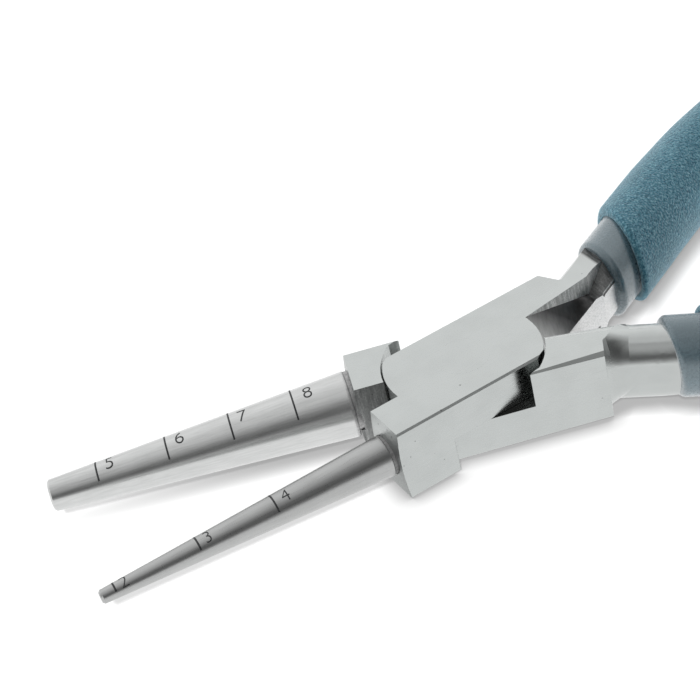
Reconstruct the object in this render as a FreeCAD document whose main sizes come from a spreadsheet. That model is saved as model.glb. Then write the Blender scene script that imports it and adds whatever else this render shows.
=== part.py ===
"""Wire looping pliers with a lap joint, two tapered round jaws and cushioned handles.

Frame: the origin is on the pivot axis, on the flat underside of the joint. +Z points up
through the joint, +X runs back along the strip of the lower lever towards the handles,
and the jaws point towards -X. The upper lever stands open by open_angle.

Both levers have the same form, drawn in a frame of their own: the jaw block lies at -Y,
the handle bows out to +Y, and the half-thickness lap plate is at the top. The upper lever
carries the small jaw and is only turned about the pivot. The lower lever carries the
large jaw and is turned over about its long axis, so that its plate lies below and its jaw
faces the other one.
"""
import FreeCAD, Part

import math
import os

import Sketcher

from FreeCAD import Placement, Rotation, Vector

# Driving sizes: millimetres and degrees
SIZES = [
    # Joint
    ("joint_thickness", 10.5, "height of both lap plates together"),
    ("lap_gap", 0.06, "play between the two lap plates"),
    ("strip_half_width", 7.16, "half of the width across the joint"),
    ("disc_radius", 10.36, "rounded ends of each lap plate"),
    ("corner_start", 6.67, "pivot axis to the trimmed corners of a lap plate, along the strip"),
    ("corner_angle", 27.0, "how far the trimmed corners turn inward"),
    ("recess_clearance", 0.25, "gap between a plate's round end and its recess"),
    ("corner_clearance", 0.15, "gap between a trimmed corner and its recess"),
    ("edge_chamfer", 0.25, "broken long edges of the joint"),
    ("heel_bevel_front", 0.2, "ground lower edge of a rear block, next to the joint"),
    ("heel_bevel_rear", 0.55, "the same edge at the handle's root"),
    ("open_angle", 20.4, "angle between the levers at rest"),
    # Pivot rivet
    ("rivet_radius", 2.6, "shank of the pivot rivet"),
    ("rivet_flare", 0.9, "how far each flush head is wider than the shank"),
    ("rivet_head", 1.1, "height of each flush head"),
    ("rivet_play", 0.03, "running clearance in the lever that turns"),
    # Jaw blocks
    ("front_length", 14.43, "pivot axis to the front face of the jaw blocks"),
    ("front_crown", 0.38, "how far the front face stands out at mid height"),
    ("contact_offset", 0.79, "plane where the jaw blocks meet, off the joint's middle"),
    # Rear blocks
    ("rear_length", 16.6, "pivot axis to the outer rear corner of a block"),
    ("upper_end_lean", 26.3, "end of the upper rear block, off square to the strip"),
    ("lower_end_lean", 12.0, "end of the lower rear block, off square to the strip"),
    ("inner_wall", 0.25, "inner wall of a rear block, off the joint's middle"),
    ("inner_round_front", 0.95, "rounded inner edge of a rear block, next to the joint"),
    ("inner_round_rear", 3.5, "the same edge at the end of the inner wall"),
    # Handles
    ("root_inset", 5.15, "outer rear corner of a block to the handle's centre line"),
    ("upper_bow_angle", 26.3, "angle of the upper handle's root to the strip"),
    ("lower_bow_angle", 20.0, "angle of the lower handle's root to the strip"),
    ("bow_straight", 25.2, "straight start of the handle"),
    ("bow_radius", 113.0, "radius of the bowed handle"),
    ("bow_turn_angle", 36.0, "how far the bowed handle turns back"),
    ("handle_half_height", 4.55, "upright half size of the metal handle"),
    ("handle_half_width", 3.8, "level half size of the metal handle"),
    ("handle_flat", 3.5, "centre line to the flat on the inner side of the handle"),
    ("handle_embed", 2.5, "how far the handle's form reaches into its block"),
    ("pad_rise", 1.16, "extra height of the handle on its flush side"),
    ("pad_half_width", 3.65, "level half size of the handle on its flush side"),
    ("pad_level", 21.0, "pivot axis to where the flush side begins to fall"),
    ("pad_radius", 11.6, "radius of that fall"),
    ("pad_embed", 1.5, "how far the flush side reaches into the block and the sleeve"),
    ("neck_length", 3.4, "length of the neck behind a rear block"),
    ("neck_height", 1.1, "how much the neck swells upright"),
    ("neck_width", 1.5, "how much the neck swells sideways"),
    ("neck_embed", 1.2, "how far the neck's form reaches into its block"),
    # Scoop that lets the other lever close
    ("scoop_front", 0.7, "top edge of the scoop off the middle, next to the joint"),
    ("scoop_rear", 2.0, "the same edge at scoop_length"),
    ("scoop_length", 21.0, "pivot axis to the end of the scoop's full wall"),
    ("scoop_wall", 2.9, "height of the upright wall there"),
    ("scoop_front_depth", 9.2, "depth of the scoop's floor next to the joint"),
    ("scoop_rear_depth", 2.75, "depth of the floor at scoop_length"),
    ("mouth_edge", 1.4, "top edge of the scoop at the sleeve's mouth, off the centre line"),
    ("mouth_edge_depth", 0.9, "depth of that edge"),
    ("mouth_floor", 3.6, "foot of the scoop's slope at the mouth, off the centre line"),
    ("mouth_floor_depth", 2.6, "depth of that foot"),
    ("scoop_overrun", 2.4, "how far the scoop runs out under the sleeve"),
    # Small jaw
    ("small_base", 2.78, "radius of the small jaw at its root"),
    ("small_tip", 0.905, "radius of the small jaw at its tip"),
    ("small_length", 39.83, "length of the small jaw"),
    ("small_inset", 3.52, "centre of the small jaw, off the joint's middle"),
    ("small_heading", 4.0, "how far the small jaw turns inward"),
    ("small_stud", 1.8, "radius of the stud that holds the small jaw"),
    # Large jaw
    ("large_base", 4.44, "radius of the large jaw at its root"),
    ("large_tip", 2.10, "radius of the large jaw at its tip"),
    ("large_length", 41.07, "length of the large jaw"),
    ("large_inset", 3.45, "centre of the large jaw, off the joint's middle"),
    ("large_heading", 2.3, "how far the large jaw turns inward"),
    ("large_stud", 2.8, "radius of the stud that holds the large jaw"),
    # Both jaws
    ("stud_length", 3.2, "depth of the studs in the jaw blocks"),
    ("groove_depth", 0.15, "relief groove where a jaw meets its block"),
    ("groove_width", 0.75, "width of that groove"),
    ("tip_chamfer", 0.25, "broken edge of the jaw tips"),
    # Dipped sleeves
    ("sleeve_wall", 1.0, "wall of the dipped sleeve"),
    ("sleeve_start", 7.2, "rear block to the mouth of the sleeve"),
    ("mouth_lean", -3.3, "how far the mouth is off square to the strip"),
    ("sleeve_lip", 0.85, "rounded edge of the sleeve's mouth"),
    ("sleeve_end", 1.6, "skin over the end of the metal handle"),
    ("sleeve_end_round", 3.0, "rounding of the sleeve's closed end"),
    # Foam grips
    ("grip_wall", 1.2, "wall of the foam grip"),
    ("grip_start", 13.4, "rear block to the front of the grip"),
    ("grip_lean", -10.7, "how far the front of the grip is off square to the strip"),
    ("grip_end_gap", 4.0, "bare sleeve behind the grip"),
    ("grip_round", 1.0, "rounded ends of the grip"),
]

doc = FreeCAD.newDocument("pliers")
sheet = doc.addObject("Spreadsheet::Sheet", "sizes")
for row, (alias, value, note) in enumerate(SIZES, start=1):
    sheet.set("A%d" % row, alias)
    sheet.set("B%d" % row, "%g" % value)
    sheet.set("C%d" % row, note)
    sheet.setAlias("B%d" % row, alias)
doc.recompute()

# Expressions that several pieces share
TOP = "sizes.joint_thickness"
MIDDLE = "sizes.joint_thickness / 2"
PLATE_LOW = "(sizes.joint_thickness + sizes.lap_gap) / 2"
WIDE = "sizes.strip_half_width"
WALL = "sizes.inner_wall"
CLEAR = 1.0  # how far a cutting tool stands past what it cuts
PLANE_STEP = 1e-3  # keeps a tool's corner off the plane that it ends on
NECK_STEPS = 4  # sections along the neck
NECK_SINK = 0.04  # share of the swelling by which the neck ends inside the handle
LEAN_REACH = 6.0  # bar cut away in front of a leaning mouth

# What differs between the levers: the sign of the contact plane in the lever's own frame
LEVERS = {
    "upper": {"jaw": "small", "contact": "-sizes.contact_offset", "play": "sizes.rivet_play"},
    "lower": {"jaw": "large", "contact": "sizes.contact_offset", "play": "0"},
}


# Small helpers


def size(alias):
    """The plain value of a cell."""
    return float(sheet.get(alias))


def number(expression):
    """The plain value of an expression."""
    return float(sheet.evalExpression(expression))


def bind(target, **expressions):
    """Tie properties to cells; a double underscore in a name stands for a point."""
    for prop, expression in expressions.items():
        target.setExpression(prop.replace("__", "."), expression)
    return target


def difference(end, start):
    """An expression for the length between two others."""
    return "(%s) - (%s)" % (end, start)


def block(name, x0, x1, y0, y1, z0, z1):
    """A box between two corners, each coordinate an expression."""
    box = doc.addObject("Part::Box", name)
    bind(box, Length=difference(x1, x0), Width=difference(y1, y0), Height=difference(z1, z0))
    return bind(box, Placement__Base__x=x0, Placement__Base__y=y0, Placement__Base__z=z0)


def disc(name, radius, z0, z1):
    """An upright cylinder on the Z axis."""
    cylinder = doc.addObject("Part::Cylinder", name)
    return bind(cylinder, Radius=radius, Height=difference(z1, z0), Placement__Base__z=z0)


def fuse(name, *parts):
    """One solid from several."""
    joined = doc.addObject("Part::MultiFuse", name)
    joined.Shapes = list(parts)
    joined.Refine = True
    return joined


def cut(name, base, tool):
    """A solid with a tool taken away."""
    result = doc.addObject("Part::Cut", name)
    result.Base = base
    result.Tool = tool
    return result


def common(name, *parts):
    """What several solids share."""
    shared = doc.addObject("Part::MultiCommon", name)
    shared.Shapes = list(parts)
    return shared


def draw_outline(sketch, points):
    """A closed outline in a sketch, every corner tied to two expressions."""
    corners = [Vector(number(x), number(y), 0) for x, y in points]
    for start, end in zip(corners, corners[1:] + corners[:1]):
        sketch.addGeometry(Part.LineSegment(start, end), False)
    for i in range(len(corners)):
        following = (i + 1) % len(corners)
        sketch.addConstraint(Sketcher.Constraint("Coincident", i, 2, following, 1))
    for i, (point, corner) in enumerate(zip(points, corners)):
        for kind, expression, value in zip(("DistanceX", "DistanceY"), point, corner):
            constraint = Sketcher.Constraint(kind, -1, 1, i, 1, value)
            index = sketch.addConstraint(constraint)
            sketch.setExpression("Constraints[%d]" % index, expression)


def prism(name, points, z0, z1):
    """An upright prism on a plan outline."""
    outline = doc.addObject("Sketcher::SketchObject", name + "_outline")
    draw_outline(outline, points)
    bind(outline, Placement__Base__z=z0)
    solid = doc.addObject("Part::Extrusion", name)
    solid.Base = outline
    solid.DirMode = "Custom"
    solid.Dir = Vector(0, 0, 1)
    solid.Solid = True
    return bind(solid, LengthFwd=difference(z1, z0))


def turned(name, points):
    """A round body on its own Z axis, from a half outline of (radius, height)."""
    body = doc.addObject("PartDesign::Body", name)
    sketch = body.newObject("Sketcher::SketchObject", name + "_profile")
    plane = [f for f in body.Origin.OriginFeatures if f.Role == "XZ_Plane"][0]
    sketch.AttachmentSupport = [(plane, "")]
    sketch.MapMode = "FlatFace"
    draw_outline(sketch, points)
    revolution = body.newObject("PartDesign::Revolution", name + "_turning")
    revolution.Profile = sketch
    revolution.ReferenceAxis = (sketch, ["V_Axis"])
    revolution.Angle = 360
    body.Tip = revolution
    return body


def edges_in_plane(shape, point, normal):
    """Numbers of the edges that lie in a plane."""
    numbers = []
    for i, edge in enumerate(shape.Edges, start=1):
        spots = edge.discretize(5)
        if all(abs((spot - point).dot(normal)) < PLANE_STEP for spot in spots):
            numbers.append(i)
    return numbers


def rounded(name, base, point, heading, alias):
    """A bar with the edge round one of its ends rounded."""
    doc.recompute()
    normal = Vector(math.cos(heading), math.sin(heading), 0)
    fillet = doc.addObject("Part::Fillet", name)
    fillet.Base = base
    radius = size(alias)
    fillet.Edges = [(i, radius, radius) for i in edges_in_plane(base.Shape, point, normal)]
    return fillet


# The handle's centre line: a straight start and an arc that bends back, half way up


def path_point(half, distance):
    """A point of the centre line, by its distance from the rear block, and its heading."""
    bow = math.radians(size(half + "_bow_angle"))
    straight = size("bow_straight")
    radius = size("bow_radius")
    inset = size("root_inset")
    along = min(distance, straight)
    x = size("rear_length") + inset * math.sin(bow) + along * math.cos(bow)
    y = size("strip_half_width") - inset * math.cos(bow) + along * math.sin(bow)
    heading = bow - max(distance - straight, 0) / radius
    x += radius * (math.sin(bow) - math.sin(heading))
    y += radius * (math.cos(heading) - math.cos(bow))
    return Vector(x, y, number(MIDDLE)), heading


def path_length():
    """Length of the metal handle along its centre line."""
    return size("bow_straight") + size("bow_radius") * math.radians(size("bow_turn_angle"))


def section(name, half, distance, half_height, half_width):
    """An ellipse across the handle; its half sizes are expressions."""
    point, heading = path_point(half, distance)
    along = Vector(math.cos(heading), math.sin(heading), 0)
    up = Vector(0, 0, 1)
    ellipse = doc.addObject("Part::Ellipse", name)
    ellipse.Placement = Placement(point, Rotation(up, along.cross(up), along, "XZY"))
    return bind(ellipse, MajorRadius=half_height, MinorRadius=half_width)


def bar(name, half, start, end, half_height, half_width):
    """An elliptical bar along the handle, between two distances."""
    straight = size("bow_straight")
    edges = []
    if start < straight:
        corner = path_point(half, min(end, straight))[0]
        edges.append(Part.LineSegment(path_point(half, start)[0], corner).toShape())
    if end > straight:
        begin = max(start, straight)
        spots = [path_point(half, begin + (end - begin) * share)[0] for share in (0, 0.5, 1)]
        edges.append(Part.Arc(*spots).toShape())
    spine = doc.addObject("Part::Feature", name + "_path")
    spine.Shape = Part.Wire(edges)
    sweep = doc.addObject("Part::Sweep", name)
    sweep.Sections = [section(name + "_section", half, start, half_height, half_width)]
    sweep.Spine = (spine, ["Edge%d" % (i + 1) for i in range(len(edges))])
    sweep.Solid = True
    return sweep


def neck(name, half, half_height, half_width):
    """The hollow-sided swelling between the handle and its rear block."""
    length = size("neck_length")
    distances = [-size("neck_embed")] + [length * i / NECK_STEPS for i in range(NECK_STEPS + 1)]
    sections = []
    for i, distance in enumerate(distances):
        swell = (1 - distance / length) ** 2 - NECK_SINK
        sections.append(section(
            "%s_section_%d" % (name, i), half, distance,
            "%s + sizes.neck_height * %g" % (half_height, swell),
            "%s + sizes.neck_width * %g" % (half_width, swell)))
    loft = doc.addObject("Part::Loft", name)
    loft.Sections = sections
    loft.Solid = True
    return loft


def leaning_cut(name, half, base, distance, lean):
    """A bar cut off by an upright plane through the centre line; returns also the plane."""
    point = path_point(half, distance)[0]
    along = Vector(math.cos(lean), math.sin(lean), 0)
    across = Vector(-math.sin(lean), math.cos(lean), 0)
    wide = 2 * size("strip_half_width")
    corners = [point + across * wide, point - across * wide,
               point - across * wide - along * wide, point + across * wide - along * wide]
    outline = [("%r" % corner.x, "%r" % corner.y) for corner in corners]
    tool = prism(name + "_tool", outline, "-" + TOP, "2 * " + TOP)
    return cut(name, base, tool), point


# Cutting tools between outlines that stand across the strip


def ruled(name, wires):
    """A solid between section outlines."""
    sections = []
    for i, wire in enumerate(wires):
        outline = doc.addObject("Part::Feature", "%s_section_%d" % (name, i))
        outline.Shape = wire
        sections.append(outline)
    loft = doc.addObject("Part::Loft", name)
    loft.Sections = sections
    loft.Solid = True
    loft.Ruled = True
    return loft


def scoop_outline(x, edge, wall, inner, depth):
    """Section of the scoop: an upright wall, then a slope down or up to its foot."""
    top = size("joint_thickness")
    outside = -size("strip_half_width")
    corners = [
        (edge, top + CLEAR), (edge, top - wall), (inner, top - depth),
        (outside, top - depth), (outside, top + CLEAR)]
    points = [Vector(x, y, z) for y, z in corners]
    return Part.makePolygon(points + points[:1])


def scoop(name, half):
    """The scoop beside the flush side of the handle root; it runs out under the sleeve."""
    inner = size("inner_wall") - PLANE_STEP
    rear = [size("scoop_rear"), size("scoop_wall"), inner, size("scoop_rear_depth")]
    mouth = path_point(half, size("sleeve_start"))[0]
    at_mouth = [mouth.y - size("mouth_edge"), size("mouth_edge_depth"),
                mouth.y - size("mouth_floor"), size("mouth_floor_depth")]
    beyond = size("scoop_overrun") / (mouth.x - size("scoop_length"))
    at_end = [last + (last - first) * beyond for first, last in zip(rear, at_mouth)]
    return ruled(name, [
        scoop_outline(size("disc_radius"), size("scoop_front"), PLANE_STEP, inner,
                      size("scoop_front_depth")),
        scoop_outline(size("scoop_length"), *rear),
        scoop_outline(mouth.x + size("scoop_overrun"), *at_end)])


def round_outline(x, radius):
    """Section that leaves a rounded edge at the foot of the inner wall."""
    wall = size("inner_wall")
    shoulder = radius * (1 - math.sqrt(0.5))
    outer = Vector(x, wall + radius, 0)
    inner = Vector(x, wall, radius)
    arc = Part.Arc(outer, Vector(x, wall + shoulder, shoulder), inner).toShape()
    rest = Part.makePolygon([
        inner, Vector(x, wall - CLEAR, radius), Vector(x, wall - CLEAR, -CLEAR),
        Vector(x, wall + radius, -CLEAR), outer])
    return Part.Wire([arc] + rest.Edges)


def bevel_outline(x, width):
    """Section that takes off the outer edge of a rear block's underside."""
    side = size("strip_half_width")
    return Part.makePolygon([
        Vector(x, side - width - CLEAR, -CLEAR), Vector(x, side + CLEAR, width + CLEAR),
        Vector(x, side + CLEAR, -CLEAR), Vector(x, side - width - CLEAR, -CLEAR)])


def inner_flat(name, half):
    """All that lies inward of the inner wall and of the flat along the handle."""
    bow = math.radians(size(half + "_bow_angle"))
    end = path_point(half, size("bow_straight"))[0]
    flat = size("handle_flat")
    flat_end = Vector(end.x + flat * math.sin(bow), end.y - flat * math.cos(bow), 0)
    meet = flat_end.x - (flat_end.y - size("inner_wall")) / math.tan(bow)
    start = "sizes.disc_radius + sizes.recess_clearance"
    low = "-%s - %g" % (WIDE, flat_end.x)
    return prism(name, [
        (start, WALL), ("%r" % meet, WALL), ("%r" % flat_end.x, "%r" % flat_end.y),
        ("%r" % flat_end.x, low), (start, low)], "-%g" % CLEAR, "%s + %g" % (TOP, CLEAR))


# Levers


def jaw_block(name, contact):
    """The full-thickness block that carries a jaw; its front face is crowned."""
    front = "-(sizes.front_length + sizes.front_crown)"
    blank = block(name + "_blank", front, "0", "-" + WIDE, contact, "0", TOP)
    crown = doc.addObject("Part::Cylinder", name + "_crown")
    crown.Placement = Placement(Vector(0, 0, 0), Rotation(Vector(1, 0, 0), -90))
    radius = "((%s)^2 + sizes.front_crown^2) / (2 * sizes.front_crown)" % MIDDLE
    bind(crown, Radius=radius, Height="2 * " + WIDE)
    bind(crown, Placement__Base__x="%s + %s" % (front, radius),
         Placement__Base__y="-" + WIDE, Placement__Base__z=MIDDLE)
    return common(name, blank, crown)


def rear_block(name, half):
    """The full-thickness block at the handle's root, with a leaning end."""
    lean = "(%s - %s) * tan(sizes.%s_end_lean * 1deg)" % (WIDE, WALL, half)
    return prism(name, [
        ("0", WALL), ("sizes.rear_length + " + lean, WALL),
        ("sizes.rear_length", WIDE), ("0", WIDE)], "0", TOP)


def flush_side(name, half):
    """The higher side of the handle: level with the joint, then falling to the sleeve."""
    pad = bar(name + "_bar", half, -size("pad_embed"), size("sleeve_start") + size("pad_embed"),
              "sizes.handle_half_height + sizes.pad_rise", "sizes.pad_half_width")
    side = "2 * " + WIDE
    level = block(name + "_level", "0", "sizes.pad_level", "-" + side, side, "0", TOP)
    fall = doc.addObject("Part::Cylinder", name + "_fall")
    fall.Placement = Placement(Vector(0, 0, 0), Rotation(Vector(1, 0, 0), -90))
    bind(fall, Radius="sizes.pad_radius", Height="2 * " + side)
    bind(fall, Placement__Base__x="sizes.pad_level", Placement__Base__y="-" + side,
         Placement__Base__z=TOP + " - sizes.pad_radius")
    upper = block(name + "_upper", "0", "sizes.pad_level + sizes.pad_radius", "-" + side, side,
                  MIDDLE, TOP)
    return common(name, pad, fuse(name + "_room", level, fall), upper)


def handle(name, half):
    """The metal handle: an ellipse, with a higher side flush with the joint, and its neck."""
    height = "sizes.handle_half_height"
    width = "sizes.handle_half_width"
    step = "sizes.rear_length + sizes.neck_length / 3"
    far = "sizes.rear_length + 3 * sizes.neck_length"
    outline = [("0", "-" + far), (far, "-" + far), (far, far), (step, far),
               (step, WIDE), ("0", WIDE)]
    root = common(name + "_root", neck(name + "_neck", half, height, width),
                  prism(name + "_room", outline, "0", TOP))
    return fuse(name, bar(name + "_bar", half, -size("handle_embed"), path_length(),
                          height, width),
                root, flush_side(name + "_flush_side", half))


def lap_ends(name, clearance, radius, reach, z0, z1):
    """A disc with four trimmed corners: the round ends of a lap plate, or room for them."""
    slope = "tan(sizes.corner_angle * 1deg)"
    start = "sizes.corner_start + (%s) / sin(sizes.corner_angle * 1deg)" % clearance
    side = "%s + %s" % (WIDE, reach)
    near = "%s - (%s) / %s" % (start, reach, slope)
    far = "2 * sizes.disc_radius"
    low = "%s - (%s - (%s)) * %s" % (WIDE, far, start, slope)
    quarter = [(near, side), (far, low)]
    outline = quarter + [(x, "-(%s)" % y) for x, y in quarter[::-1]]
    outline += [("-(%s)" % x, "-(%s)" % y) for x, y in quarter]
    outline += [("-(%s)" % x, y) for x, y in quarter[::-1]]
    return common(name, disc(name + "_disc", radius, z0, z1),
                  prism(name + "_corners", outline, z0, z1))


def long_joint_edge(edge):
    """True for the long outer edges of the joint."""
    if len(edge.Vertexes) != 2:
        return False
    for vertex in edge.Vertexes:
        if abs(abs(vertex.Y) - size("strip_half_width")) > PLANE_STEP:
            return False
        if min(abs(vertex.Z), abs(vertex.Z - size("joint_thickness"))) > PLANE_STEP:
            return False
    return abs(edge.Vertexes[0].Z - edge.Vertexes[1].Z) < PLANE_STEP


def lever_form(half):
    """A lever without its holes: plate, both blocks and handle, in the lever's own frame."""
    name = half + "_lever"
    plate = lap_ends(name + "_plate", "0", "sizes.disc_radius", "0", PLATE_LOW, TOP)
    solid = fuse(name + "_blank", plate, jaw_block(name + "_jaw_block", LEVERS[half]["contact"]),
                 rear_block(name + "_rear_block", half), handle(name + "_handle", half))
    recess = lap_ends(name + "_recess", "sizes.corner_clearance",
                      "sizes.disc_radius + sizes.recess_clearance", "%g" % CLEAR,
                      "-%g" % CLEAR, PLATE_LOW)
    edge = ruled(name + "_inner_edge", [
        round_outline(size("disc_radius"), size("inner_round_front")),
        round_outline(size("scoop_length"), size("inner_round_rear"))])
    bevel = ruled(name + "_heel_bevel", [
        bevel_outline(size("corner_start"), size("heel_bevel_front")),
        bevel_outline(size("rear_length") + CLEAR, size("heel_bevel_rear"))])
    for tool in (recess, inner_flat(name + "_flat", half), scoop(name + "_scoop", half),
                 edge, bevel):
        solid = cut(tool.Name + "_cut", solid, tool)
    doc.recompute()
    chamfer = doc.addObject("Part::Chamfer", name + "_form")
    chamfer.Base = solid
    width = size("edge_chamfer")
    chamfer.Edges = [(i, width, width) for i, edge in enumerate(solid.Shape.Edges, start=1)
                     if long_joint_edge(edge)]
    return chamfer


def rivet_hole(name, play):
    """Room for the rivet's shank and for its head in the lever's flush face."""
    shank = disc(name + "_shank", "sizes.rivet_radius + " + play, "-%g" % CLEAR, TOP)
    head = doc.addObject("Part::Cone", name + "_head")
    bind(head, Radius1="sizes.rivet_radius + " + play, Height="sizes.rivet_head",
         Radius2="sizes.rivet_radius + sizes.rivet_flare + " + play,
         Placement__Base__z="%s - sizes.rivet_head" % TOP)
    return fuse(name, shank, head)


# Jaws


def jaw_place(jaw):
    """Where a jaw starts, on the front face, and which way it points."""
    heading = math.radians(size(jaw + "_heading"))
    start = Vector(-size("front_length"), -size(jaw + "_inset"), number(MIDDLE))
    along = Vector(-math.cos(heading), math.sin(heading), 0)
    return Placement(start, Rotation(Vector(0, 0, 1), along))


def jaw_seat(jaw):
    """Room for a jaw's stud and root in its block."""
    name = jaw + "_jaw_seat"
    taper = doc.addObject("Part::Cone", name + "_taper")
    bind(taper, Radius1="sizes.%s_base" % jaw, Radius2="sizes.%s_tip" % jaw,
         Height="sizes.%s_length" % jaw)
    stud = disc(name + "_stud", "sizes.%s_stud" % jaw, "-sizes.stud_length",
                "sizes.groove_width")
    seat = fuse(name, taper, stud)
    seat.Placement = jaw_place(jaw)
    return seat


def jaw_body(jaw):
    """A tapered round jaw with a stud, a relief groove at its root and a broken tip."""
    cells = {"base": "sizes.%s_base" % jaw, "tip": "sizes.%s_tip" % jaw,
             "length": "sizes.%s_length" % jaw, "stud": "sizes.%s_stud" % jaw}
    slope = "({base} - {tip}) / {length}".format(**cells)
    groove = "{base} - sizes.groove_depth".format(**cells)
    body = turned(jaw + "_round_jaw", [
        ("0", "-sizes.stud_length"),
        (cells["stud"], "-sizes.stud_length"),
        (cells["stud"], "0"),
        (groove, "0"),
        (groove, "sizes.groove_width - sizes.groove_depth"),
        ("{base} - {slope} * sizes.groove_width".format(slope=slope, **cells),
         "sizes.groove_width"),
        ("{tip} + {slope} * sizes.tip_chamfer".format(slope=slope, **cells),
         "{length} - sizes.tip_chamfer".format(**cells)),
        ("{tip} - sizes.tip_chamfer".format(**cells), cells["length"]),
        ("0", cells["length"])])
    return body


# The levers and what each carries


def half_place(half):
    """From a lever's own frame to the frame of the part."""
    if half == "upper":
        return Placement(Vector(0, 0, 0), Rotation(Vector(0, 0, 1), size("open_angle")))
    return Placement(Vector(0, 0, size("joint_thickness")), Rotation(Vector(1, 0, 0), 180))


def build_half(half):
    """A lever, its jaw, its dipped sleeve and its foam grip."""
    jaw = LEVERS[half]["jaw"]
    form = lever_form(half)
    holes = fuse(half + "_holes", jaw_seat(jaw),
                 rivet_hole(half + "_rivet_hole", LEVERS[half]["play"]))
    lever = cut(half + "_lever", form, holes)

    height = "sizes.handle_half_height + sizes.sleeve_wall"
    width = "sizes.handle_half_width + sizes.sleeve_wall"
    mouth = math.radians(size("mouth_lean"))
    last = path_length() + size("sleeve_end")
    end, heading = path_point(half, last)
    skin = bar(half + "_skin_bar", half, size("sleeve_start") - LEAN_REACH, last, height, width)
    skin, start = leaning_cut(half + "_skin_front", half, skin, size("sleeve_start"), mouth)
    skin = rounded(half + "_skin_mouth", skin, start, mouth, "sleeve_lip")
    skin = rounded(half + "_skin", skin, end, heading, "sleeve_end_round")
    sleeve = cut(half + "_sleeve", skin, form)

    front = math.radians(size("grip_lean"))
    last = path_length() - size("grip_end_gap")
    end, heading = path_point(half, last)
    foam = bar(half + "_foam_bar", half, size("grip_start") - LEAN_REACH, last,
               height + " + sizes.grip_wall", width + " + sizes.grip_wall")
    foam, start = leaning_cut(half + "_foam_cut", half, foam, size("grip_start"), front)
    foam = rounded(half + "_foam_front", foam, start, front, "grip_round")
    foam = rounded(half + "_foam", foam, end, heading, "grip_round")
    grip = cut(half + "_foam_grip", foam, skin)

    body = jaw_body(jaw)
    body.Placement = half_place(half).multiply(jaw_place(jaw))
    for piece in (lever, sleeve, grip):
        piece.Placement = half_place(half)
    return [(half + "_lever", lever), (jaw + "_round_jaw", body),
            (half + "_handle_sleeve", sleeve), (half + "_foam_grip", grip)]


def rivet():
    """The pivot rivet, with a flush head at each end."""
    wide = "sizes.rivet_radius + sizes.rivet_flare"
    return turned("rivet", [
        ("0", "0"), (wide, "0"), ("sizes.rivet_radius", "sizes.rivet_head"),
        ("sizes.rivet_radius", "%s - sizes.rivet_head" % TOP), (wide, TOP), ("0", TOP)])


pieces = build_half("upper") + build_half("lower") + [("pivot_rivet", rivet())]
for label, piece in pieces:
    piece.Label = label
doc.recompute()

# Nothing is written unless every object and every shape is sound
for item in doc.Objects:
    if "Invalid" in item.State or "Error" in item.State:
        raise RuntimeError("%s is in state %s" % (item.Name, item.State))
for label, piece in pieces:
    shape = piece.Shape
    if shape.isNull() or not shape.isValid() or len(shape.Solids) != 1:
        raise RuntimeError("%s isn't one sound solid" % label)

os.makedirs("parts", exist_ok=True)
for label, piece in pieces:
    piece.Shape.exportStep("parts/%s.step" % label)
    box = piece.Shape.BoundBox
    print("%-22s %9.2f mm3  x %.2f..%.2f  y %.2f..%.2f  z %.2f..%.2f" % (
        label, piece.Shape.Volume, box.XMin, box.XMax, box.YMin, box.YMax, box.ZMin, box.ZMax))
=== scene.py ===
"""Looks of the wire looping pliers: finishes, jaw marks, dipped sleeves, foam grips, studio."""
import math

import bmesh
import bpy
from mathutils import Matrix, Vector, noise


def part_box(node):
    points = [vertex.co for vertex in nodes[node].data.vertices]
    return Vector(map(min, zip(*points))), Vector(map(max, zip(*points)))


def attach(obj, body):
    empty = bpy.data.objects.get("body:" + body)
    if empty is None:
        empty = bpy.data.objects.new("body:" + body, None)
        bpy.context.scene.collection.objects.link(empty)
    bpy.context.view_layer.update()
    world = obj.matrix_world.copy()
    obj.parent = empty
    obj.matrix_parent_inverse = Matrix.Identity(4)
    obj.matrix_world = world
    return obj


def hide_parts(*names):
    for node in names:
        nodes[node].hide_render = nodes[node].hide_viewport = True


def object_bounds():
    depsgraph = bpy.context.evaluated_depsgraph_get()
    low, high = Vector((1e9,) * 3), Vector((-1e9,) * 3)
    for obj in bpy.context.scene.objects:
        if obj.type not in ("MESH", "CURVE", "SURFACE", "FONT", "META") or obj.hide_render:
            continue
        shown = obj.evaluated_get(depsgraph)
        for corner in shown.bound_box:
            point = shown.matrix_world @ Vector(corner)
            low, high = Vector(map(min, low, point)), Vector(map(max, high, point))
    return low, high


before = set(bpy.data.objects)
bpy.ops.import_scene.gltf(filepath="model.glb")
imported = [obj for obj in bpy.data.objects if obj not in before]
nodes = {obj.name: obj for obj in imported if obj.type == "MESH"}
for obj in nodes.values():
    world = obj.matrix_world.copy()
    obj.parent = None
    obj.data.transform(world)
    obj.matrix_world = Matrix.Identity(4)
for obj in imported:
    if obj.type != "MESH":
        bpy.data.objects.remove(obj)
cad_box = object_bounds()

MM = 0.001
BODIES = {"upper": "upper_half", "lower": "lower_half"}

# Sizes of the tool, in millimetres and degrees. In a lever's own frame x runs back along its
# strip from the pivot, y runs across it and z runs towards the outer face of its lap plate.
JOINT = {"thickness": 10.5, "half_width": 7.16, "open_angle": 20.4, "plate_radius": 10.36}
FRONT_LENGTH = 14.43
HANDLE = {
    "rear_length": 16.6, "root_inset": 5.15, "bow": {"upper": 26.3, "lower": 20.0},
    "straight": 25.2, "radius": 113.0, "turn": 36.0, "half_height": 4.55, "half_width": 3.8,
}
SLEEVE_WALL = 1.0

# The scoop beside the handle's root: its wall along y, the end of its milled band and of its
# mouth along x, how deep the band is at its end, and the mouth's floor and the bottom along z
SCOOP = {"wall": 0.25, "end": 21.0, "end_depth": 2.9, "mouth": 26.5, "mouth_floor": 7.35,
         "bottom": 0.7}

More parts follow.
